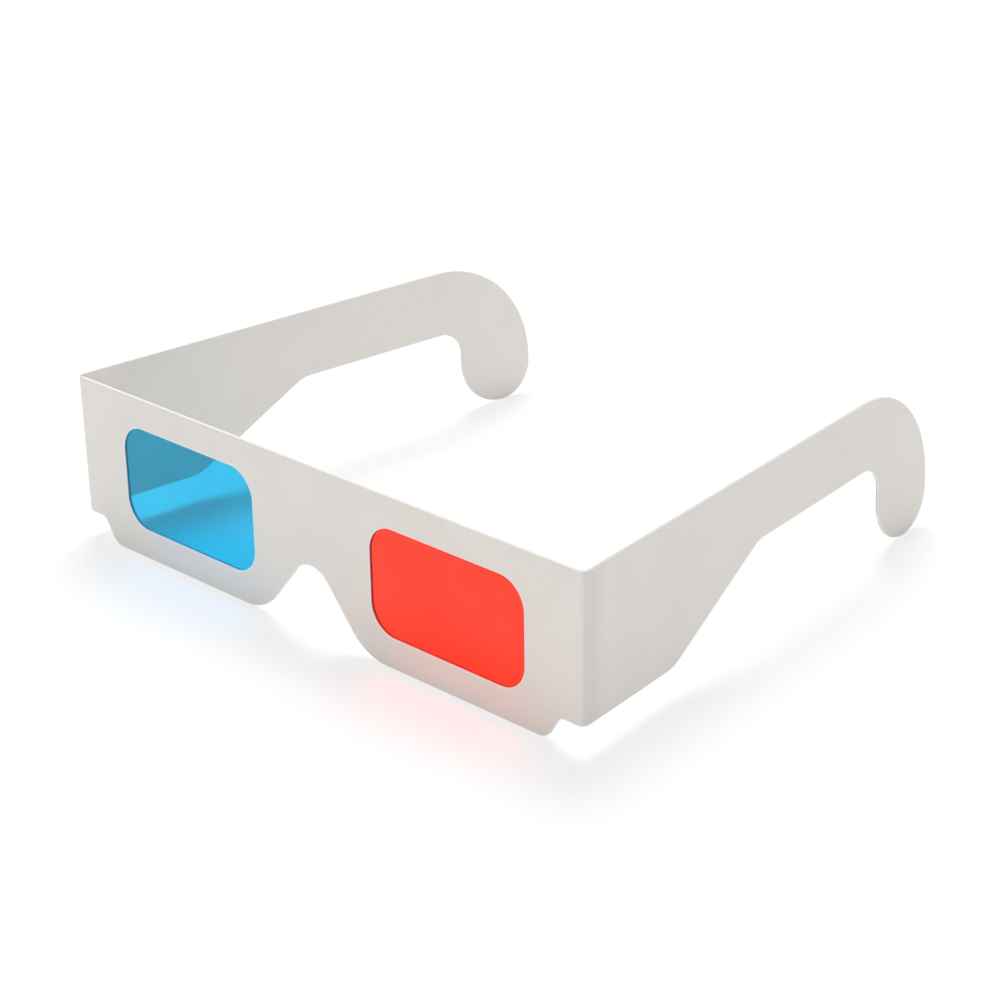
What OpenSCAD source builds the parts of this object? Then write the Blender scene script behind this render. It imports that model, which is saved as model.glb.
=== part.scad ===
// Paperboard viewing glasses with a red and a cyan film: one folded card, two films and glue.
// +X is the wearer's left, +Y runs from the front to the ear hooks and +Z is up.
// The origin is on the table, under the middle of the opened glasses.

/* [Card] */
// Thickness of the paperboard
board_t = 0.35; // [0.25:0.05:0.5]
// Outside radius of the creases between the front and the arms
crease_r = 1.2; // [1:0.1:2.5]
// How far the inner panel stays inside the front panel's edge
back_setback = 0.6; // [0.3:0.1:1.2]

/* [Front] */
// Width across the outsides of the two creases
front_w = 140; // [128:0.5:160]
// Height from the lower edge to the crest of the top fold
front_h = 35.5; // [33:0.5:42]
// Height of the lower ends of the creases above the lower edge
shoulder_h = 5.3; // [3:0.1:5.8]
// Width of a shoulder, from the outside of its crease to the notch beside the flange
shoulder_w = 5.6; // [5:0.1:7]
// How far each end of the lower flange leans out between the lower edge and the notch
flange_lean = 3.2; // [2:0.1:5]
// Radius of the lower flange's outer corners
flange_r = 3.6; // [0.5:0.1:4]
// Radius in the bottom of the notch between a flange and a shoulder
notch_r = 1.8; // [0.3:0.1:2.2]

/* [Nose] */
// Width of the nose notch along the lower edge, before its feet are rounded
nose_w = 28.8; // [20:0.1:32]
// Height at which the sides of the nose notch would meet, before its top is rounded
nose_peak_h = 17.6; // [12:0.2:22]
// Radius of the nose notch's top
nose_top_r = 5.6; // [2:0.1:7]
// Radius of the nose notch's two feet
nose_foot_r = 11.5; // [2:0.25:12]

/* [Windows] */
// Width of a window
window_w = 39.4; // [30:0.2:42]
// Height of a window
window_h = 22.4; // [16:0.1:24]
// Radius of a window's corners
window_r = 6; // [1:0.1:8]
// Width of the bridge between the two windows
bridge_w = 33; // [28:0.2:38]
// Height of the windows' lower edges above the front's lower edge
window_lift = 6.5; // [5.2:0.1:8]

/* [Films] */
// Thickness of the coloured film
film_t = 0.1; // [0.05:0.01:0.2]
// How far a film reaches under the card round its window
film_rim = 2; // [1.5:0.25:4]
// Gap between the edge of a film and the glue round it
film_gap = 0.1; // [0.05:0.05:0.2]
// Thickness of a coat of glue
glue_t = 0.05; // [0.03:0.01:0.1]
// How far the glue stays back from the edges of the inner panel and of the windows
glue_setback = 0.8; // [0.3:0.1:1]
// Least width of the glue left between a film and the glue's outer edge
glue_border = 0.3; // [0.2:0.05:0.4]

/* [Arms] */
// Length of an arm from its crease to the back of its ear hook
arm_len = 121; // [110:0.5:140]
// Angle by which each arm leans in from straight back
arm_toe = 6.1; // [0:0.1:9]
// Height of the arm's straight blade
blade_h = 15.1; // [12:0.1:18]
// Length of the arm's straight lower edge beside the crease
root_len = 26.7; // [15:0.1:36]
// Length along the arm of the slope from the lower edge up to the blade
taper_len = 28.5; // [18:0.5:38]
// Radius where the slope meets the lower edge and the blade
taper_r = 8; // [1:0.5:12]
// Width of the ear hook
hook_w = 20.6; // [14:0.1:24]
// Outside radius of the ear hook's bend
hook_r = 27.25; // [12:0.25:28]
// Radius of the hook's tip on the side of the ear
tip_ear_r = 12.5; // [4:0.1:13]
// Radius of the hook's tip at its back
tip_back_r = 8; // [4:0.1:11]
// Radius in the corner where the ear sits
throat_r = 6.2; // [1:0.1:7]

/* [Hidden] */
$fn = 64;
// Largest turn between neighbouring points of a rounded corner, in degrees
arc_step = 6;

board_colour = [0.86, 0.85, 0.83];
red_colour = [0.98, 0.25, 0.18, 0.6];
cyan_colour = [0.15, 0.68, 0.88, 0.6];
glue_colour = [0.93, 0.92, 0.84];

// Layers behind the front face: front panel, glue, film, glue and back panel
film_y = board_t + glue_t;
back_y = film_y + film_t + glue_t;
front_t = back_y + board_t;
lining_t = back_y - board_t;
pocket_t = glue_t + film_t;

// The top fold is a half tube over the upper edges of the two panels
fold_r = front_t / 2;
panel_top = front_h - fold_r;

// Each crease is an arc round an upright axis, from the front panel's end to the arm's root
crease_x = front_w / 2 - crease_r;
crease_inner_r = crease_r - board_t;
crease_turn = 90 + arm_toe;

// From the front face to the backs of the ear hooks
depth = crease_r * (1 + sin(arm_toe)) + arm_len * cos(arm_toe);

notch_x = front_w / 2 - shoulder_w;
flange_x = notch_x - flange_lean;
window_x = (bridge_w + window_w) / 2;
window_z = window_lift + window_h / 2;

blade_z = front_h - blade_h;
hook_s = arm_len - hook_w;
bend_r = min(hook_r, front_h - tip_back_r);
tip_front_r = min(tip_ear_r, hook_w - tip_back_r);
throat_bend_r = min(throat_r, blade_z - tip_front_r);

function unit(v) = v / norm(v);
function left_of(v) = [-v[1], v[0]];
function turned(v, angle) = v * cos(angle) + left_of(v) * sin(angle);
function at(points, i) = points[(i + len(points)) % len(points)];
function mirrored(points) = [for (i = [len(points) - 1 : -1 : 0]) [-points[i][0], points[i][1]]];

// Points of the arc of radius r that touches both edges of a corner, or the bare corner where r is 0
function corner_arc(before, corner, after, r) =
    let (
        u = unit(before - corner),
        v = unit(after - corner),
        half = acos(u * v) / 2,
        centre = corner + unit(u + v) * r / sin(half),
        spoke = corner + u * r / tan(half) - centre,
        sweep = (cross(u, v) < 0 ? 1 : -1) * (180 - 2 * half),
        steps = ceil(abs(sweep) / arc_step)
    )
    r == 0 ? [corner] : [for (k = [0 : steps]) centre + turned(spoke, sweep * k / steps)];

function rounded(points, radii) =
    [for (i = [0 : len(points) - 1])
        each corner_arc(at(points, i - 1), points[i], at(points, i + 1), radii[i])];

// Corners of an anticlockwise outline whose every edge has moved in by a distance
function moved_in(points, distance) =
    [for (i = [0 : len(points) - 1])
        let (
            n = left_of(unit(points[i] - at(points, i - 1))),
            m = left_of(unit(at(points, i + 1) - points[i]))
        )
        points[i] + distance * (n + m) / (1 + n * m)];

// Radii of that outline: a corner that points out tightens, and one that points in widens
function moved_radii(points, radii, distance) =
    [for (i = [0 : len(points) - 1])
        let (bend = cross(points[i] - at(points, i - 1), at(points, i + 1) - points[i]))
        radii[i] == 0 ? 0 : max(0, radii[i] - distance * sign(bend))];

// Corners of the front, anticlockwise from its upper left as a viewer faces it
function front_corners(top) =
    let (half = [
        [-crease_x, top], [-crease_x, shoulder_h], [-notch_x, shoulder_h], [-flange_x, 0], [-nose_w / 2, 0]
    ])
    concat(half, [[0, nose_peak_h]], mirrored(half));

front_radii = [0, 0, notch_r, flange_r, nose_foot_r, nose_top_r, nose_foot_r, flange_r, notch_r, 0, 0];

arm_corners = [
    [0, shoulder_h], [root_len, shoulder_h], [root_len + taper_len, blade_z], [hook_s, blade_z],
    [hook_s, 0], [arm_len, 0], [arm_len, front_h], [0, front_h]
];
arm_radii = [0, taper_r, taper_r, throat_bend_r, tip_front_r, tip_back_r, bend_r, 0];

// The front's outline moved in by a distance, with its upper edge at the given height
module front_outline(top, distance = 0) {
    corners = front_corners(top + distance);
    polygon(rounded(moved_in(corners, distance), moved_radii(corners, front_radii, distance)));
}

module arm_outline() {
    polygon(rounded(arm_corners, arm_radii));
}

// One window, or an opening larger than it by a margin all round, on the side given by 1 or -1
module window_outline(side, margin = 0) {
    x = window_w / 2 + margin;
    z = window_h / 2 + margin;
    r = window_r + margin;
    translate([side * window_x, window_z])
        polygon(rounded([[-x, -z], [x, -z], [x, z], [-x, z]], [r, r, r, r]));
}

// The edge of the glue, or an outline inside it by an inset
module glue_outline(inset = 0) {
    front_outline(panel_top - glue_setback - inset, back_setback + glue_setback + inset);
}

// A film is a plain rectangle, trimmed where it would reach the glue's edge, and its pocket is wider by a gap
module film_outline(side, gap = 0) {
    rim = film_rim + gap;
    intersection() {
        translate([side * window_x, window_z])
            square([window_w + 2 * rim, window_h + 2 * rim], center = true);
        glue_outline(glue_border + film_gap - gap);
    }
}

// A flat sheet of the front, from depth y behind the front face to y + t
module sheet(y, t) {
    translate([0, y + t - depth / 2, 0])
        rotate([90, 0, 0])
            linear_extrude(t)
                children();
}

// What stands beside a crease: the axis of the crease is the child's own Z axis
module at_crease(side) {
    mirror([side < 0 ? 1 : 0, 0, 0])
        translate([crease_x, crease_r - depth / 2, 0])
            children();
}

module panel(y, top, distance) {
    sheet(y, board_t)
        difference() {
            front_outline(top, distance);
            window_outline(1);
            window_outline(-1);
        }
}

module front_panel() {
    color(board_colour) panel(0, panel_top, 0);
}

module back_panel() {
    color(board_colour) panel(back_y, panel_top, back_setback);
}

module top_fold() {
    length = 2 * crease_x;
    color(board_colour)
        translate([-length / 2, fold_r - depth / 2, panel_top])
            rotate([90, 0, 90])
                linear_extrude(length)
                    difference() {
                        circle(fold_r);
                        circle(fold_r - board_t);
                        translate([-front_t, -2 * front_t]) square(2 * front_t);
                    }
}

module crease(side) {
    color(board_colour)
        at_crease(side)
            rotate([0, 0, -90])
                rotate_extrude(angle = crease_turn)
                    translate([crease_inner_r, shoulder_h])
                        square([board_t, front_h - shoulder_h]);
}

module arm(side) {
    color(board_colour)
        at_crease(side)
            rotate([0, 0, arm_toe])
                translate([crease_inner_r, 0, 0])
                    rotate([90, 0, 90])
                        linear_extrude(board_t)
                            arm_outline();
}

module film(side, colour) {
    color(colour) sheet(film_y, film_t) film_outline(side);
}

module film_glue(side) {
    color(glue_colour)
        sheet(board_t, glue_t)
            difference() {
                film_outline(side);
                window_outline(side, glue_setback);
            }
}

// The glue between the panels, with a pocket for each film and its own glue
module panel_glue() {
    color(glue_colour)
        difference() {
            sheet(board_t, lining_t) glue_outline();
            for (side = [1, -1]) {
                sheet(board_t, pocket_t) film_outline(side, film_gap);
                sheet(board_t, lining_t) window_outline(side, glue_setback);
            }
        }
}

front_panel();
back_panel();
top_fold();
crease(1);  // left_crease
crease(-1);  // right_crease
arm(1);  // left_arm
arm(-1);  // right_arm
film(1, red_colour);  // red_film
film(-1, cyan_colour);  // cyan_film
film_glue(1);  // red_film_glue
film_glue(-1);  // cyan_film_glue
panel_glue();
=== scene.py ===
# %% [markdown]
# Paper viewing glasses: one folded card with a red and a cyan film.
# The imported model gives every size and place, and it stays where it is. This lesson dresses it.
# Each part of the card is worked out flat, as the knife cuts it, and a formula then folds it into place.

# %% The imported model
import math

import bmesh
import bpy
import numpy as np
from mathutils import Matrix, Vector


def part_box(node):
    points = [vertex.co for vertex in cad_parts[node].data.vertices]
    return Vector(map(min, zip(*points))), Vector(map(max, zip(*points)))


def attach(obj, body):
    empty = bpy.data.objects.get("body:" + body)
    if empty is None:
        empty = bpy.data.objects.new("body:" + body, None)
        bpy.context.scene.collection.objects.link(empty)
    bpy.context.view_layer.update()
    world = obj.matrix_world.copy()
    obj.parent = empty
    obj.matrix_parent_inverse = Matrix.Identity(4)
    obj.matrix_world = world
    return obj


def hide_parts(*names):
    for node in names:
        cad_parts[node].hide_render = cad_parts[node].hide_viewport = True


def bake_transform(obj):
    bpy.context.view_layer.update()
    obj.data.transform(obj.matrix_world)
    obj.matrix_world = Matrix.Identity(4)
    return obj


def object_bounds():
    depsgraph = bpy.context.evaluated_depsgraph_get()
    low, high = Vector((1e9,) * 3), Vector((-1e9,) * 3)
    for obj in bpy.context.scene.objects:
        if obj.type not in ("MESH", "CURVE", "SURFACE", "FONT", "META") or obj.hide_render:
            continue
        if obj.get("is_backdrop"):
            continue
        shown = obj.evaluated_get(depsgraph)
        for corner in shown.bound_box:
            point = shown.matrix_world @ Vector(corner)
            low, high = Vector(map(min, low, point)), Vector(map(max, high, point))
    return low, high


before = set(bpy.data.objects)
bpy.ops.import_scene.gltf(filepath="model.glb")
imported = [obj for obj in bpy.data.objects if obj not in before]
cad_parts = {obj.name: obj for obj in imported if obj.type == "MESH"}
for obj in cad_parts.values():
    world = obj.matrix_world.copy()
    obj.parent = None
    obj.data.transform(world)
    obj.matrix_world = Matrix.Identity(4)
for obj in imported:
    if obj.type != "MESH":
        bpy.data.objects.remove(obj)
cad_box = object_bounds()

MM = 0.001

# %% [markdown]
# The camera comes first, because every later look is judged through it. Its place was solved from the
# outlines of the card. It could be aimed at a target with a constraint, but a place and three angles say
# exactly what was solved, and nothing else in the scene can turn it.

# %% Camera
camera_place = np.array((321.9, -341.3, 217.2))
camera_azimuth = math.radians(44.05)
camera_elevation = math.radians(24.02)
camera_roll = math.radians(-0.9)
lens_length = 88.7
sensor_width = 36.0


def camera_axes(azimuth, elevation, roll):
    """Right, up and back vectors of a camera that looks down by elevation, turned from +Y by azimuth.
    Roll turns right and up about the line of sight."""
    ahead = np.array((
        -math.sin(azimuth) * math.cos(elevation),
        math.cos(azimuth) * math.cos(elevation),
        -math.sin(elevation),
    ))
    level = np.array((math.cos(azimuth), math.sin(azimuth), 0.0))
    right = math.cos(roll) * level + math.sin(roll) * np.cross(level, ahead)
    return right, np.cross(right, ahead), -ahead


def place_camera():
    """A camera whose matrix columns are its own right, up and back vectors and its place."""
    data = bpy.data.cameras.new("photo_camera")
    data.lens = lens_length
    data.sensor_width = sensor_width
    data.clip_start = 0.01
    data.clip_end = 20
    camera = bpy.data.objects.new("photo_camera", data)
    bpy.context.scene.collection.objects.link(camera)
    columns = [*camera_axes(camera_azimuth, camera_elevation, camera_roll), camera_place * MM]
    camera.matrix_world = Matrix(np.vstack([np.array(columns).T, (0, 0, 0, 1)]).tolist())
    bpy.context.scene.camera = camera


place_camera()
print("camera at", np.round(camera_place, 1), "mm, lens", lens_length, "mm")

# %% [markdown]
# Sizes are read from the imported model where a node's box shows them. The rest are the radii, angles and
# lengths of the flat pattern, in millimetres, which no box can show.

# %% Sizes of the card
def box_mm(node):
    """Lowest and highest corner of a node at rest, in millimetres."""
    low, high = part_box(node)
    return np.array(low) / MM, np.array(high) / MM


panel_low, panel_high = box_mm("front_panel")
back_high = box_mm("back_panel")[1]
crease_low, crease_high = box_mm("left_crease")
fold_low, fold_high = box_mm("top_fold")
arm_high = box_mm("left_arm")[1]

front_y = panel_low[1]
board_t = panel_high[1] - front_y
front_t = back_high[1] - front_y
panel_top = panel_high[2]
arm_top = arm_high[2]
crease_x = panel_high[0]
crease_r = crease_high[0] - crease_x
crease_y = front_y + crease_r
shoulder_h = crease_low[2]
back_setback = crease_x - back_high[0]

shoulder_w = 5.6
flange_lean = 3.2
flange_r = 3.6
notch_r = 1.8
nose_w = 28.8
nose_peak_h = 17.6
nose_top_r = 5.6
nose_foot_r = 11.5
print(f"card {board_t:.2f} mm thick, front {front_t:.2f} mm thick and {2 * crease_x:.1f} mm wide")

# %% [markdown]
# A die-cut card has soft corners, because the knife bends round each one. So an outline is a short list of
# corners with a radius each, and every corner becomes an arc that touches both of its edges. Beside its
# points the outline keeps a vector that leads from the cut into the card. It is zero along a fold, where
# the card goes on and has no cut.

# %% Outlines
point_step = 0.8
arc_step = math.radians(4)


def unit(vectors):
    """Vectors scaled to length one."""
    return vectors / np.linalg.norm(vectors, axis=-1, keepdims=True)


def left_of(vectors):
    """Vectors turned a quarter turn anticlockwise."""
    return np.stack([-vectors[..., 1], vectors[..., 0]], -1)


def corner_arc(before, corner, after, radius):
    """Points of the arc that touches both edges of a corner, and the way into the card at each.
    The centre lies on the bisector, radius / sin(half the corner's angle) away from the corner."""
    to_before = unit(before - corner)
    to_after = unit(after - corner)
    half = math.acos(to_before @ to_after) / 2
    centre = corner + unit(to_before + to_after) * radius / math.sin(half)
    spoke = corner + to_before * radius / math.tan(half) - centre
    bend = np.sign(to_after[0] * to_before[1] - to_after[1] * to_before[0])
    sweep = bend * (math.pi - 2 * half)
    steps = 2 * math.ceil(abs(sweep) / arc_step / 2)
    turn = np.linspace(0, sweep, steps + 1)[:, None]
    spokes = spoke * np.cos(turn) + left_of(spoke) * np.sin(turn)
    return centre + spokes, -bend * spokes / radius


def outline(corners, radii, folded):
    """Closed anticlockwise outline through rounded corners: its points, the ways from them into the card,
    and the first and last point of each corner. Folded says of each edge, which runs from its corner to
    the next one, whether the card goes on there."""
    corners = np.array(corners, float)
    inward = left_of(unit(np.roll(corners, -1, 0) - corners))
    inward[np.array(folded)] = 0
    arcs = []
    for i, radius in enumerate(radii):
        after = corners[(i + 1) % len(corners)]
        bare = corners[i][None], (inward[i - 1] + inward[i])[None]
        arcs.append(corner_arc(corners[i - 1], corners[i], after, radius) if radius else bare)
    points, ways, spans, count = [], [], [], 0
    for i, (arc, way) in enumerate(arcs):
        start, end = arc[-1], arcs[(i + 1) % len(arcs)][0][0]
        steps = 2 * max(1, math.ceil(np.linalg.norm(end - start) / point_step / 2))
        share = np.linspace(0, 1, steps + 1)[1:-1, None]
        points += [arc, start + share * (end - start)]
        ways += [way, np.broadcast_to(inward[i], (len(share), 2))]
        spans.append((count, count + len(arc) - 1))
        count += len(arc) + len(share)
    return np.concatenate(points), np.concatenate(ways), spans


def front_pattern(inset, creased):
    """Corners, radii and folds of a front panel, seen from in front with Z up, from the top of the nose.
    Every edge but the upper one is moved in by inset, and a creased panel goes on into the arms."""
    lean = math.atan2(shoulder_h, flange_lean)
    slope = math.atan2(nose_peak_h, nose_w / 2)
    side = crease_x - inset
    notch = crease_x + crease_r - shoulder_w - inset * math.tan(lean / 2)
    foot = nose_w / 2 + inset * math.tan(slope / 2)
    right = [
        (foot, inset, nose_foot_r - inset, False),
        (notch - flange_lean, inset, flange_r - inset, False),
        (notch, shoulder_h + inset, notch_r + inset, False),
        (side, shoulder_h + inset, 0, creased),
        (side, panel_top, 0, True),
    ]
    peak = (0, nose_peak_h + inset / math.cos(slope), nose_top_r + inset)
    left = [(-x, z, r) for x, z, r, fold in right[::-1]]
    stations = [peak, *[station[:3] for station in right], *left]
    folds = [fold for x, z, r, fold in right]
    return [s[:2] for s in stations], [s[2] for s in stations], [False, *folds, *folds[-2::-1], False]


print("front pattern:", len(outline(*front_pattern(0, True))[0]), "points")

# %% [markdown]
# Card is thick enough to show its edge. The knife rolls the upper side over a little before it cuts through,
# which leaves a soft lip above and a crisp one below. A Bevel modifier could round the edges, but it would
# round both sides alike. So the section of every board is one closed loop: over the lip, across the face,
# over the other lip, down the cut, and back underneath. Carried along a pair of edges, the loop makes the
# whole board as one grid.

# %% The card's section
lip_w = 0.34
lip_drop = 0.14
burr_r = 0.05
lip_steps = 5
burr_steps = 3
face_shares = np.array((0.012, 0.25, 0.5, 0.75, 0.988))


def lip(edge, way, wide, drop, steps):
    """A quarter of an ellipse from the cut up to the face: rows of points and of depths below the face."""
    turn = np.linspace(0, math.pi / 2, steps + 1)[:, None]
    is_cut = np.abs(way).max(-1) > 0
    return edge + way * wide * (1 - np.cos(turn))[..., None], drop * (1 - np.sin(turn)) * is_cut


def board_rows(edge_a, way_a, edge_b, way_b, thickness, shares=face_shares):
    """The closed section loop between matching points of two edges: rows of points, of depths below the
    face and of shares of raw cut. It starts on edge a, crosses the face and comes back underneath."""
    sides = []
    for wide, drop, steps in ((lip_w, lip_drop, lip_steps), (burr_r, burr_r, burr_steps)):
        rows_a, depths_a = lip(edge_a, way_a, wide, drop, steps)
        rows_b, depths_b = lip(edge_b, way_b, wide, drop, steps)
        face = rows_a[-1] + (rows_b[-1] - rows_a[-1]) * shares[:, None, None]
        depths = np.concatenate([depths_a, np.zeros(face.shape[:2]), depths_b[::-1]])
        sides.append((np.concatenate([rows_a, face, rows_b[::-1]]), depths, depths / drop))
    (rows, depths, cut), (rows_under, depths_under, cut_under) = sides
    return (
        np.concatenate([rows, rows_under[::-1]]),
        np.concatenate([depths, thickness - depths_under[::-1]]),
        np.concatenate([cut, cut_under[::-1]]),
    )


def grid_faces(rows, columns, ring=False):
    """Four corners of every cell of a grid that is closed from its last row to its first.
    A ring is closed from its last column to its first as well."""
    i = np.arange(rows)[:, None]
    j = np.arange(columns if ring else columns - 1)[None]
    here = i * columns
    above = (i + 1) % rows * columns
    after = (j + 1) % columns
    cells = np.broadcast_arrays(here + j, here + after, above + after, above + j)
    return np.stack(cells, -1).reshape(-1, 4)


print("points in the section's loop:", 2 * len(face_shares) + 2 * (lip_steps + burr_steps + 2))

# %% [markdown]
# A new piece is a mesh of such points, left at the origin. Points that meet are welded, which closes seams
# and poles, and the faces are turned outwards. Two attributes stay at each point for the finish: the share of
# raw cut, and the share of painted crease shade. Painted masks could say the same, but these follow from the
# shape.

# %% Making a piece
weld_gap = 2e-7
sharp_angle = math.radians(50)


def new_piece(name, points, faces, cut, caps=(), fold=None):
    """A mesh object from points in millimetres: welded, facing outwards, smooth except at sharp edges.
    Cut and fold become attributes of its points, and fold is nought where it isn't given."""
    mesh = bpy.data.meshes.new(name)
    mesh.from_pydata((points * MM).tolist(), [], faces.tolist() + [cap.tolist() for cap in caps])
    fold = np.zeros_like(cut) if fold is None else fold
    for attribute, share in (("cut", cut), ("fold", fold)):
        values = share.ravel().astype(np.float32)
        mesh.attributes.new(attribute, "FLOAT", "POINT").data.foreach_set("value", values)
    welded = bmesh.new()
    welded.from_mesh(mesh)
    bmesh.ops.remove_doubles(welded, verts=welded.verts, dist=weld_gap)
    bmesh.ops.recalc_face_normals(welded, faces=welded.faces)
    open_edges = sum(not edge.is_manifold for edge in welded.edges)
    welded.to_mesh(mesh)
    welded.free()
    mesh.polygons.foreach_set("use_smooth", np.ones(len(mesh.polygons), bool))
    mesh.set_sharp_from_angle(angle=sharp_angle)
    piece = bpy.data.objects.new(name, mesh)
    bpy.context.scene.collection.objects.link(piece)
    print(f"{name}: {len(mesh.polygons)} faces, {open_edges} open edges")
    return piece


# %% [markdown]
# The front and the inner panel each have two windows. A sheet with holes is awkward as one grid, but each
# half of a panel is a ring round its window: a ray from the window's middle meets the window's edge once
# and the panel's edge once. So a half is a grid of such rays, its mirror image is the other half, and the
# two are welded down the middle of the bridge.

# %% Front and inner panels
window_r = 6.0
film_rim = 2.0
film_low, film_high = box_mm("red_film")
window_centre = ((film_low + film_high) / 2)[[0, 2]]
window_half = ((film_high - film_low) / 2)[[0, 2]] - film_rim


def window_edge(directions):
    """Where rays from a window's middle meet its rounded edge, and the ways from there into the card.
    A ray meets an upright side, a level side, or else one of the corner arcs."""
    across = np.abs(directions)
    corner = window_half - window_r
    side, level = (window_half / np.maximum(across, 1e-9)).T
    on_side = side * across[:, 1] <= corner[1]
    on_level = level * across[:, 0] <= corner[0]
    reach = across @ corner
    arc = reach + np.sqrt(np.maximum(reach**2 - corner @ corner + window_r**2, 0))
    length = np.select([on_side, on_level], [side, level], arc)[:, None]
    way = np.where(on_level[:, None], (0.0, 1.0), across * length - corner)
    way = np.where(on_side[:, None], (1.0, 0.0), way)
    return window_centre + directions * length, unit(way) * np.sign(directions)


def panel(name, inset, creased, face_y, behind):
    """Both halves of a panel. Behind is 1 where the depth grows towards +Y, and -1 where it grows to -Y."""
    points, ways = outline(*front_pattern(inset, creased))[:2]
    right = points[:, 0] > -1e-9
    points, ways = points[right], ways[right]
    bridge = np.linspace(points[-1], points[0], round((points[-1] - points[0])[1] / point_step))[1:-1]
    edge = np.concatenate([points, bridge])
    way = np.concatenate([ways, np.zeros_like(bridge)])
    rows, depths, cut = board_rows(*window_edge(unit(edge - window_centre)), edge, way, board_t)
    half = np.stack([rows[..., 0], face_y + behind * depths, rows[..., 1]], -1).reshape(-1, 3)
    faces = grid_faces(*depths.shape, ring=True)
    faces = faces[np.abs(half[faces][..., 0]).max(1) > 1e-6]
    both = np.concatenate([half, half * (-1, 1, 1)])
    return new_piece(name, both, np.concatenate([faces, faces + len(half)]), np.tile(cut.ravel(), 2))


front_card = panel("front_panel_card", 0, True, front_y, 1)
inner_card = panel("inner_panel_card", back_setback, False, front_y + front_t, -1)

# %% [markdown]
# The card goes over the top in a tight half turn, and round the temples in two wider ones. All of them are
# strips bent round an axis: the strip's length becomes an angle. A modifier could bend a flat strip, but the
# formula is short, and a crease also needs its score: pressing it before the fold leaves a shallow hollow.
# The outer side of a crease gets painted shade, from partway round its turn on, and it fades along the arm.

# %% Top fold and creases
bend_step = math.radians(4)
fold_r = front_t / 2
arm_toe = math.radians(6.1)
crease_turn = math.pi / 2 + arm_toe
score_depth = 0.1
# Painted shade on the outer side of the creases: where it starts, how fast it comes in, how far along an arm.
crease_shade_from = math.radians(36)
crease_shade_fade = math.radians(14)
crease_shade_len = 6.5


def smooth_step(share):
    """Nought below 0, one above 1, and 3 s squared minus 2 s cubed between them."""
    share = np.clip(share, 0, 1)
    return share**2 * (3 - 2 * share)


def bent_strip(name, low, high, turn, to_space, crease_shading):
    """A strip from low to high across, carried through a turn. The section loop lies across the strip,
    and to_space takes points, with angle and place across, and depths into the model's space.
    The last argument says how much painted shade its outer side gets, from partway round the turn on."""
    angles = np.linspace(0, turn, math.ceil(turn / bend_step) + 1)
    edges = [np.stack([angles, np.full_like(angles, across)], -1) for across in (low, high)]
    way = np.broadcast_to((0.0, 1.0), edges[0].shape)
    rows, depths, cut = board_rows(edges[0], way, edges[1], -way, board_t)
    points = to_space(rows[..., 0], rows[..., 1], depths).reshape(-1, 3)
    index = np.arange(depths.size).reshape(depths.shape)
    # painted shade on the outer side of a crease, from partway round its turn on
    fold = (1 - depths / board_t) * smooth_step((rows[..., 0] - crease_shade_from) / crease_shade_fade) * crease_shading
    return new_piece(name, points, grid_faces(*depths.shape), cut, (index[:, 0], index[:, -1]), fold)


def over_the_top(angle, across, depth):
    """The half turn from the front panel's upper edge to the inner panel's."""
    reach = fold_r - depth
    return np.stack([across, front_y + fold_r - reach * np.cos(angle), panel_top + reach * np.sin(angle)], -1)


def round_the_temple(side):
    """The turn from the front to an arm, with the score's hollow in the middle of the turn."""
    def to_space(angle, across, depth):
        hollow = score_depth * np.sin(math.pi * angle / crease_turn) ** 2
        reach = crease_r - depth - hollow
        x = side * (crease_x + reach * np.sin(angle))
        return np.stack([x, crease_y - reach * np.cos(angle), across], -1)
    return to_space


top_fold_card = bent_strip("top_fold_card", fold_low[0], fold_high[0], math.pi, over_the_top, 0)
crease_cards = {
    name: bent_strip(f"{name}_crease_card", shoulder_h, arm_top, crease_turn, round_the_temple(side), 1)
    for name, side in (("left", 1), ("right", -1))
}

# %% [markdown]
# An arm is a band that narrows from its root to a straight blade and then hooks down behind the ear. It could
# be a filled curve, but a band between a lower and an upper edge makes a clean grid, with ribs that fan out
# round the hook. Three stations along the edges say which points face each other. Both edges end in the
# lowest point of the hook, where the ribs shrink to nothing and are welded.

# %% Arms
arm_len = (arm_high[1] - front_y - crease_r * (1 + math.sin(arm_toe))) / math.cos(arm_toe)
blade_h = 15.1
root_len = 26.7
taper_len = 28.5
taper_r = 8.0
hook_w = 20.6
hook_r = 27.25
tip_ear_r = 12.5
tip_back_r = 8.0
throat_r = 6.2
rib_step = 0.7


def arm_edges():
    """Matching points of an arm's lower and upper edges, and the ways from them into the card."""
    blade_z = arm_top - blade_h
    hook_s = arm_len - hook_w
    corners = [
        (0, shoulder_h), (root_len, shoulder_h), (root_len + taper_len, blade_z), (hook_s, blade_z),
        (hook_s, 0), (arm_len, 0), (arm_len, arm_top), (0, arm_top),
    ]
    radii = [0, taper_r, taper_r, throat_r, tip_ear_r, tip_back_r, hook_r, 0]
    points, ways, spans = outline(corners, radii, [False] * 7 + [True])
    middle = [(first + last) // 2 for first, last in spans]
    tip = (spans[4][1] + spans[5][0]) // 2
    lower = np.arange(0, tip + 1)
    upper = np.arange(spans[7][0], tip - 1, -1)
    facing = [np.searchsorted(lower, (0, middle[2], middle[3], tip))]
    over_slope = np.argmin(np.abs(points[upper, 0] - points[middle[2], 0]))
    facing.append(np.array((0, over_slope, spans[7][0] - middle[6], len(upper) - 1)))
    matched = []
    for chain, stations in zip((lower, upper), facing):
        steps = np.linalg.norm(np.diff(points[chain], axis=0), axis=1)
        run = np.concatenate([[0], np.cumsum(steps)])
        matched.append((chain, run, run[stations]))
    counts = np.ceil(np.diff(matched[1][2]) / rib_step).astype(int)
    ribs = np.concatenate([[0], np.cumsum(counts)])
    for chain, run, stations in matched:
        along = np.interp(np.arange(ribs[-1] + 1), ribs, stations)
        edge = np.stack([np.interp(along, run, points[chain, k]) for k in (0, 1)], -1)
        yield edge
        yield unit(np.stack([np.interp(along, run, ways[chain, k]) for k in (0, 1)], -1))


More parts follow.
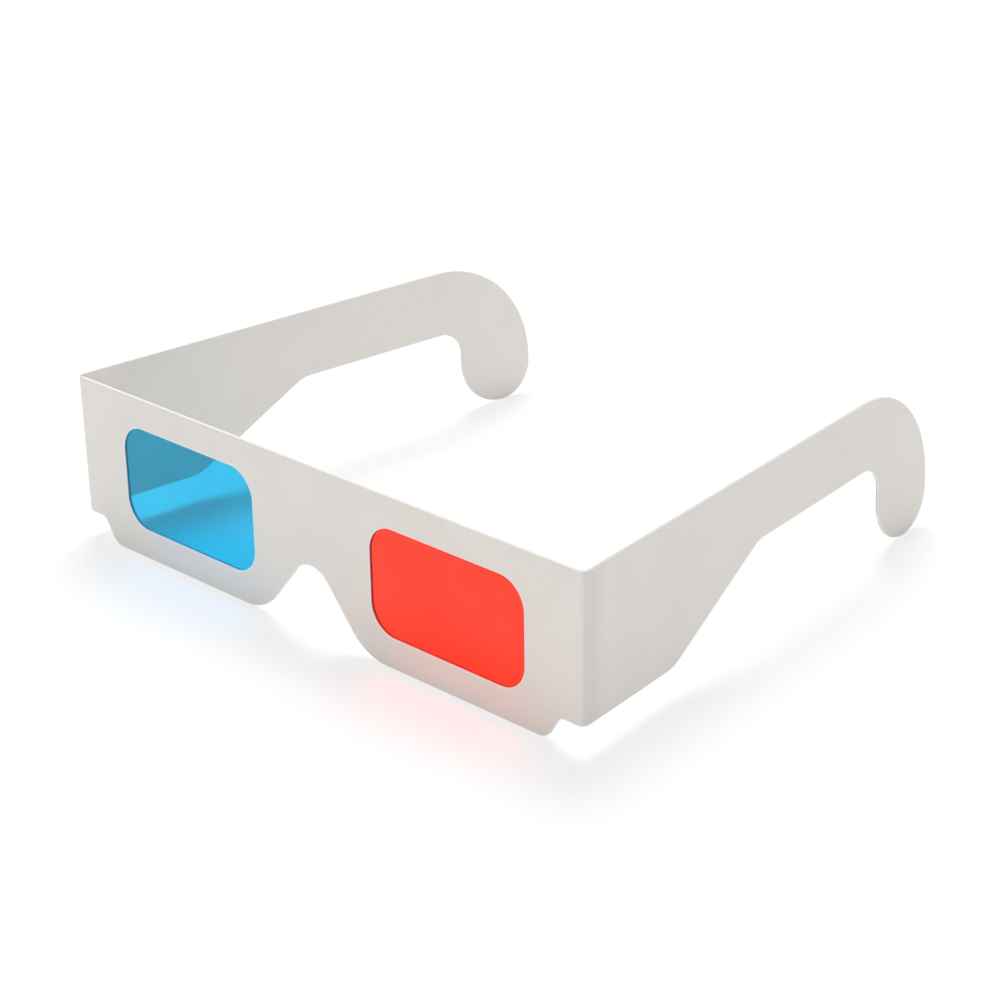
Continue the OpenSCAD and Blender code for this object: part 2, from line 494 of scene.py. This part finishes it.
def arm(name, side):
    """An arm: its flat band is set against the end of its crease and leans in by the toe angle."""
    rows, depths, cut = board_rows(*arm_edges(), board_t)
    reach = crease_r - depths
    x = crease_x + reach * math.sin(crease_turn) + rows[..., 0] * math.cos(crease_turn)
    y = crease_y - reach * math.cos(crease_turn) + rows[..., 0] * math.sin(crease_turn)
    points = np.stack([side * x, y, rows[..., 1]], -1).reshape(-1, 3)
    root = np.arange(depths.size).reshape(depths.shape)[:, 0]
    # painted shade at the root of the arm, next to the crease, fading along the arm
    fold = (1 - depths / board_t) * smooth_step(1 - rows[..., 0] / crease_shade_len)
    return new_piece(name, points, grid_faces(*depths.shape), cut, (root,), fold)


arm_cards = {name: arm(f"{name}_arm_card", side) for name, side in (("left", 1), ("right", -1))}

# %% [markdown]
# The films are cut from a thin tinted foil. Held at its rim, a foil is never quite flat: it billows a little
# in the window, which is what breaks up its reflections. Bump could fake that, but a real swell of a few
# hundredths of a millimetre shows in the mesh as well.

# %% Films
film_shares = np.linspace(0, 1, 29)[1:-1]
film_step = 1.0
swell = 0.035


def billow(across, up):
    """Swell of a film in its window: slow waves, which fade to nothing at the window's edge."""
    u, v = across / window_half[0], up / window_half[1]
    held = np.clip(1 - u**2, 0, 1) * np.clip(1 - v**2, 0, 1)
    return swell * held * (np.sin(2.1 * u + 0.9 * v + 0.4) + 0.5 * np.sin(3.7 * v - 1.3 * u))


def film(name, node):
    """A film as a thin board without lips, whose two faces swell together."""
    low, high = box_mm(node)
    along = np.linspace(low[0], high[0], math.ceil((high[0] - low[0]) / film_step) + 1)
    edges = [np.stack([along, np.full_like(along, z)], -1) for z in (low[2], high[2])]
    still = np.zeros_like(edges[0])
    rows, depths, cut = board_rows(edges[0], still, edges[1], still, high[1] - low[1], film_shares)
    middle = (low + high) / 2
    y = low[1] + depths + billow(rows[..., 0] - middle[0], rows[..., 1] - middle[2])
    points = np.stack([rows[..., 0], y, rows[..., 1]], -1).reshape(-1, 3)
    index = np.arange(depths.size).reshape(depths.shape)
    return new_piece(name, points, grid_faces(*depths.shape), cut, caps=(index[:, 0], index[:, -1]))


films = {tint: film(f"{tint}_film_sheet", f"{tint}_film") for tint in ("red", "cyan")}

# %% [markdown]
# Every piece takes the place of its node. All but the creases move with the node's body: a crease rides on
# no body and stays as it is made, running from the front to the arm at rest.


def dress(piece, node, body):
    """The piece stands for the node, whose own part is hidden, and rides on the body where one is given."""
    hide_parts(node)
    if body:
        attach(piece, body)


dress(front_card, "front_panel", "front")
dress(inner_card, "back_panel", "front")
dress(top_fold_card, "top_fold", "front")
for tint, sheet in films.items():
    dress(sheet, f"{tint}_film", "front")
for name, side in (("left", 1), ("right", -1)):
    dress(arm_cards[name], f"{name}_arm", f"{name}_arm")
    dress(crease_cards[name], f"{name}_crease", None)
    begin, end = round_the_temple(side)(np.array((0, crease_turn)), np.full(2, arm_top), np.zeros(2)) * MM
    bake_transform(crease_cards[name])

# %% [markdown]
# A finish is a small graph of nodes. Two helpers keep the graphs short: one adds a node and sets or links
# its inputs by name, and one starts a material with millimetres of Object coordinates, so that every
# pattern below can be given at its real size.

# %% Helpers for finishes
def node(tree, kind, settings=None, **inputs):
    """Adds a node, sets its own settings, and sets or links its inputs by name."""
    made = tree.nodes.new("ShaderNode" + kind)
    for key, value in (settings or {}).items():
        setattr(made, key, value)
    for key, value in inputs.items():
        socket = made.inputs[int(key[1:])] if key[0] == "_" else made.inputs[key.replace("_", " ")]
        if isinstance(value, bpy.types.NodeSocket):
            tree.links.new(value, socket)
        else:
            socket.default_value = value
    return made


def new_finish(name):
    """An empty material, with its tree and Object coordinates in millimetres."""
    material = bpy.data.materials.new(name)
    material.use_nodes = True
    tree = material.node_tree
    tree.nodes.clear()
    place = node(tree, "TexCoord").outputs["Object"]
    in_mm = node(tree, "VectorMath", {"operation": "SCALE"}, _0=place, Scale=1 / MM).outputs[0]
    return material, tree, in_mm


def mixed(tree, factor, a, b):
    """A colour between a and b."""
    return node(tree, "Mix", {"data_type": "RGBA"}, _0=factor, _6=a, _7=b).outputs[2]


def ranged(tree, value, low, high, to_low, to_high):
    """A value moved from one range to another and held inside it."""
    ends = {"From_Min": low, "From_Max": high, "To_Min": to_low, "To_Max": to_high}
    return node(tree, "MapRange", None, Value=value, **ends).outputs[0]


def finish_output(tree, shader):
    """Ends a material's graph."""
    node(tree, "OutputMaterial", None, Surface=shader)


# %% [markdown]
# The card is white boxboard: matte, a little uneven in shade, with a fine tooth and short fibres that lie
# mostly along the sheet. Beside a cut, its lip shows paler pulp with a painted highlight, the wall of the cut
# is painted grey as shade, and painted shade darkens the creases. Flat white with some roughness would look
# like plastic, so three sizes of noise carry the shade, and the two finer ones carry the bump as well.

# %% Card
cloud_scale = 0.07
fibre_scale = 1.2
tooth_scale = 5.0
fibre_squeeze = (0.5, 0.5, 3.0)
card_dull = (0.825, 0.792, 0.745, 1)
card_clear = (0.855, 0.824, 0.78, 1)
fibre_shade = (0.88, 0.86, 0.82, 1)
# painted shade for the creases
painted_crease_shade = (0.775, 0.744, 0.70, 1)
# pale pulp of the cut, with a painted highlight, for the lips
pulp_and_highlight_dull = (0.93, 0.92, 0.89, 1)
pulp_and_highlight_clear = (0.97, 0.965, 0.945, 1)
# painted shade on the wall of a cut
painted_wall_shade = (0.52, 0.50, 0.46, 1)


def card_finish():
    """Boxboard: cloudy shade and fibres on its faces, mixed with painted crease shade by the fold attribute.
    As the cut attribute grows, the face turns to pulp and painted highlight on the lip, then to painted wall
    shade."""
    material, tree, place = new_finish("card")
    cloud = node(tree, "TexNoise", None, Vector=place, Scale=cloud_scale, Detail=4.0).outputs[0]
    along = node(tree, "VectorMath", {"operation": "MULTIPLY"}, _0=place, _1=fibre_squeeze).outputs[0]
    strands = node(tree, "TexNoise", None, Vector=along, Scale=fibre_scale, Detail=3.0, Distortion=1.5)
    fibre = strands.outputs[0]
    tooth = node(tree, "TexNoise", None, Vector=place, Scale=tooth_scale, Detail=3.0).outputs[0]
    face = mixed(tree, ranged(tree, cloud, 0.3, 0.7, 0, 1), card_dull, card_clear)
    face = mixed(tree, ranged(tree, fibre, 0.55, 0.75, 0, 0.35), face, fibre_shade)
    # pale pulp with a painted highlight for the lips
    pulp_and_highlight = mixed(tree, ranged(tree, tooth, 0.35, 0.65, 0, 1), pulp_and_highlight_dull, pulp_and_highlight_clear)
    fold = node(tree, "Attribute", {"attribute_name": "fold"}).outputs["Fac"]
    # painted shade at the creases, where the fold attribute says
    face = mixed(tree, fold, face, painted_crease_shade)
    cut = node(tree, "Attribute", {"attribute_name": "cut"}).outputs["Fac"]
    # the lips go over to pulp with a painted highlight
    shade = mixed(tree, ranged(tree, cut, 0.01, 0.2, 0, 1), face, pulp_and_highlight)
    # painted shade on the wall of the cut
    shade = mixed(tree, ranged(tree, cut, 0.75, 1, 0, 1), shade, painted_wall_shade)
    rough = ranged(tree, tooth, 0.3, 0.7, 0.7, 0.88)
    relief = node(tree, "Math", {"operation": "MULTIPLY_ADD"}, _0=fibre, _1=0.6, _2=tooth).outputs[0]
    normal = node(tree, "Bump", None, Strength=0.35, Distance=0.012 * MM, Height=relief).outputs[0]
    shader = node(tree, "BsdfPrincipled", None, Base_Color=shade, Roughness=rough, Normal=normal)
    shader.inputs["Specular IOR Level"].default_value = 0.3
    finish_output(tree, shader.outputs[0])
    return material


card = card_finish()
for piece in (front_card, inner_card, top_fold_card, *crease_cards.values(), *arm_cards.values()):
    piece.data.materials.append(card)
print("card on", card.users, "pieces")

# %% [markdown]
# A tinted foil is clear: it lets its own colour through and mirrors a little of the room. Glass does both.
# Lamps need help, because Cycles stops their light at glass. A Transparent shader takes over for shadow rays,
# in the same tint, so each film throws its colour on the floor.

# %% Film finishes
def film_finish(name, dark, light):
    """Clear tinted foil, a little uneven in its dye, glossy, with faint drawing lines in its gloss."""
    material, tree, place = new_finish(name)
    dye = node(tree, "TexNoise", None, Vector=place, Scale=0.05, Detail=2.0).outputs[0]
    tint = mixed(tree, ranged(tree, dye, 0.35, 0.65, 0, 1), dark, light)
    drawn = node(tree, "VectorMath", {"operation": "MULTIPLY"}, _0=place, _1=(1.2, 1.0, 0.04)).outputs[0]
    lines = node(tree, "TexNoise", None, Vector=drawn, Scale=1.0, Detail=2.0).outputs[0]
    rough = ranged(tree, lines, 0.3, 0.7, 0.02, 0.05)
    glass = node(tree, "BsdfPrincipled", None, Base_Color=tint, Roughness=rough)
    glass.inputs["Transmission Weight"].default_value = 1.0
    glass.inputs["IOR"].default_value = 1.35
    clear = node(tree, "BsdfTransparent", None, Color=tint).outputs[0]
    shadow_ray = node(tree, "LightPath").outputs["Is Shadow Ray"]
    foil = node(tree, "MixShader", None, _0=shadow_ray, _1=glass.outputs[0], _2=clear).outputs[0]
    finish_output(tree, foil)
    return material


film_tints = {
    "red": ((0.91, 0.032, 0.008, 1), (0.93, 0.040, 0.014, 1)),
    "cyan": ((0.006, 0.453, 0.765, 1), (0.009, 0.483, 0.795, 1)),
}
for tint, (dark, light) in film_tints.items():
    films[tint].data.materials.append(film_finish(f"{tint}_film", dark, light))
print("film finishes:", sorted(film_tints))

# %% [markdown]
# The glue stays inside, apart from a thin line that shows in the seam between the panels. It keeps its packed
# solids and gets a milky finish with a soft unevenness.

# %% Glue
def glue_finish():
    """Dried white glue: milky, satin, slightly blotchy."""
    material, tree, place = new_finish("glue")
    blotch = node(tree, "TexNoise", None, Vector=place, Scale=0.6, Detail=2.0).outputs[0]
    shade = mixed(tree, blotch, (0.72, 0.70, 0.62, 1), (0.80, 0.78, 0.72, 1))
    rough = ranged(tree, blotch, 0.3, 0.7, 0.35, 0.55)
    normal = node(tree, "Bump", None, Strength=0.3, Distance=0.02 * MM, Height=blotch).outputs[0]
    shader = node(tree, "BsdfPrincipled", None, Base_Color=shade, Roughness=rough, Normal=normal)
    finish_output(tree, shader.outputs[0])
    return material


glue = glue_finish()
for name in ("red_film_glue", "cyan_film_glue", "panel_glue"):
    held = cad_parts[name]
    held.data.materials.clear()
    held.data.materials.append(glue)
print("glue on", glue.users, "nodes")

# %% [markdown]
# The floor is plain and pale. Where it is seen directly it is lifted towards white, so that the shadows on it
# stay light, and further out it goes over to plain white. Through a film the bare floor shows, with deep
# shadows, and bare it also throws its light back on the card.

# %% Floor
floor_half = 3.0
floor_drop = 0.00002
floor_shade = (0.9, 0.9, 0.9, 1)
floor_lift = 0.67
white_from = 170.0
white_to = 420.0


def seen_ray(tree):
    """One for rays that show a surface: from the camera, off gloss or through glass."""
    path = node(tree, "LightPath")
    either = node(tree, "Math", {"operation": "MAXIMUM"}, _0=path.outputs["Is Camera Ray"],
                  _1=path.outputs["Is Glossy Ray"]).outputs[0]
    return node(tree, "Math", {"operation": "MAXIMUM"}, _0=either,
                _1=path.outputs["Is Transmission Ray"]).outputs[0]


def pale_floor():
    """A square floor just under the object: diffuse, mixed with plain white for rays that show it.
    The white's share is floor_lift for camera rays near the object, and grows to one at white_to."""
    mesh = bpy.data.meshes.new("floor")
    corners = np.array(((-1, -1), (1, -1), (1, 1), (-1, 1))) * floor_half
    level = np.full((4, 1), cad_box[0][2] - floor_drop)
    mesh.from_pydata(np.hstack([corners, level]).tolist(), [], [(0, 1, 2, 3)])
    floor = bpy.data.objects.new("floor", mesh)
    bpy.context.scene.collection.objects.link(floor)
    material, tree, place = new_finish("pale_floor")
    bare = node(tree, "BsdfDiffuse", None, Color=floor_shade).outputs[0]
    white = node(tree, "Emission", None, Color=(1, 1, 1, 1), Strength=1.0).outputs[0]
    direct = node(tree, "LightPath").outputs["Is Camera Ray"]
    near = node(tree, "Math", {"operation": "MULTIPLY"}, _0=direct, _1=floor_lift).outputs[0]
    out = node(tree, "VectorMath", {"operation": "LENGTH"}, _0=place).outputs["Value"]
    far = ranged(tree, out, white_from, white_to, 0, 1)
    lift = node(tree, "Mix", {"data_type": "FLOAT"}, _0=far, _2=near, _3=seen_ray(tree)).outputs[0]
    finish_output(tree, node(tree, "MixShader", None, _0=lift, _1=bare, _2=white).outputs[0])
    mesh.materials.append(material)
    floor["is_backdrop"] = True


pale_floor()

# %% [markdown]
# The light is two soft panels above and behind the glasses, a strong one on the left and a weak one on the
# right, in a pale room that is brighter on the front's side. The strong panel throws the shadows towards the
# viewer, and the room and the floor light the faces that are seen. A small lamp could throw the shadows too,
# but it would leave hard edges, and a panel's shadows grow softer with distance.

# %% Light
room_light = 0.60
room_way = np.array((-0.5, -0.85, 0.0))
room_swing = 0.3
panel_distance = 2.4
panel_size = 1.0


def soft_panel(name, way, power):
    """A square area lamp that faces the object's middle from the given way."""
    data = bpy.data.lights.new(name, "AREA")
    data.shape = "SQUARE"
    data.size = panel_size
    data.energy = power
    lamp = bpy.data.objects.new(name, data)
    bpy.context.scene.collection.objects.link(lamp)
    back = unit(np.array(way))
    right = unit(np.cross((0.0, 0.0, 1.0), back))
    columns = [right, np.cross(back, right), back, back * panel_distance]
    lamp.matrix_world = Matrix(np.vstack([np.array(columns).T, (0, 0, 0, 1)]).tolist())


def pale_room():
    """A pale world: white for rays that show it, and the room's own level for the light it gives. That level
    grows with the cosine of the angle to room_way, by room_swing at most."""
    world = bpy.data.worlds.new("pale_room")
    world.use_nodes = True
    tree = world.node_tree
    tree.nodes.clear()
    way = node(tree, "TexCoord").outputs["Generated"]
    brightest = unit(room_way)
    facing = node(tree, "VectorMath", {"operation": "DOT_PRODUCT"}, _0=way, _1=brightest).outputs["Value"]
    level = ranged(tree, facing, -1, 1, room_light * (1 - room_swing), room_light * (1 + room_swing))
    strength = node(tree, "Mix", {"data_type": "FLOAT"}, _0=seen_ray(tree), _2=level, _3=1.0).outputs[0]
    shown = node(tree, "Background", None, Color=(1, 1, 1, 1), Strength=strength).outputs[0]
    node(tree, "OutputWorld", None, Surface=shown)
    bpy.context.scene.world = world


soft_panel("left_panel", (-0.35, 0.41, 1.0), 38.0)
soft_panel("right_panel", (0.60, 0.45, 1.0), 3.5)
pale_room()
bpy.context.scene.view_settings.view_transform = "Standard"
print("room at", room_light, "with", len(bpy.data.lights), "panels")

# %% [markdown]
# Last, the dressed model is measured beside the imported one, and both sizes are printed.

# %% Size and end
sizes = {"cad": cad_box, "visual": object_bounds()}
for name, (low, high) in sizes.items():
    print(name, [round(1000 * x, 2) for x in high - low], "mm")
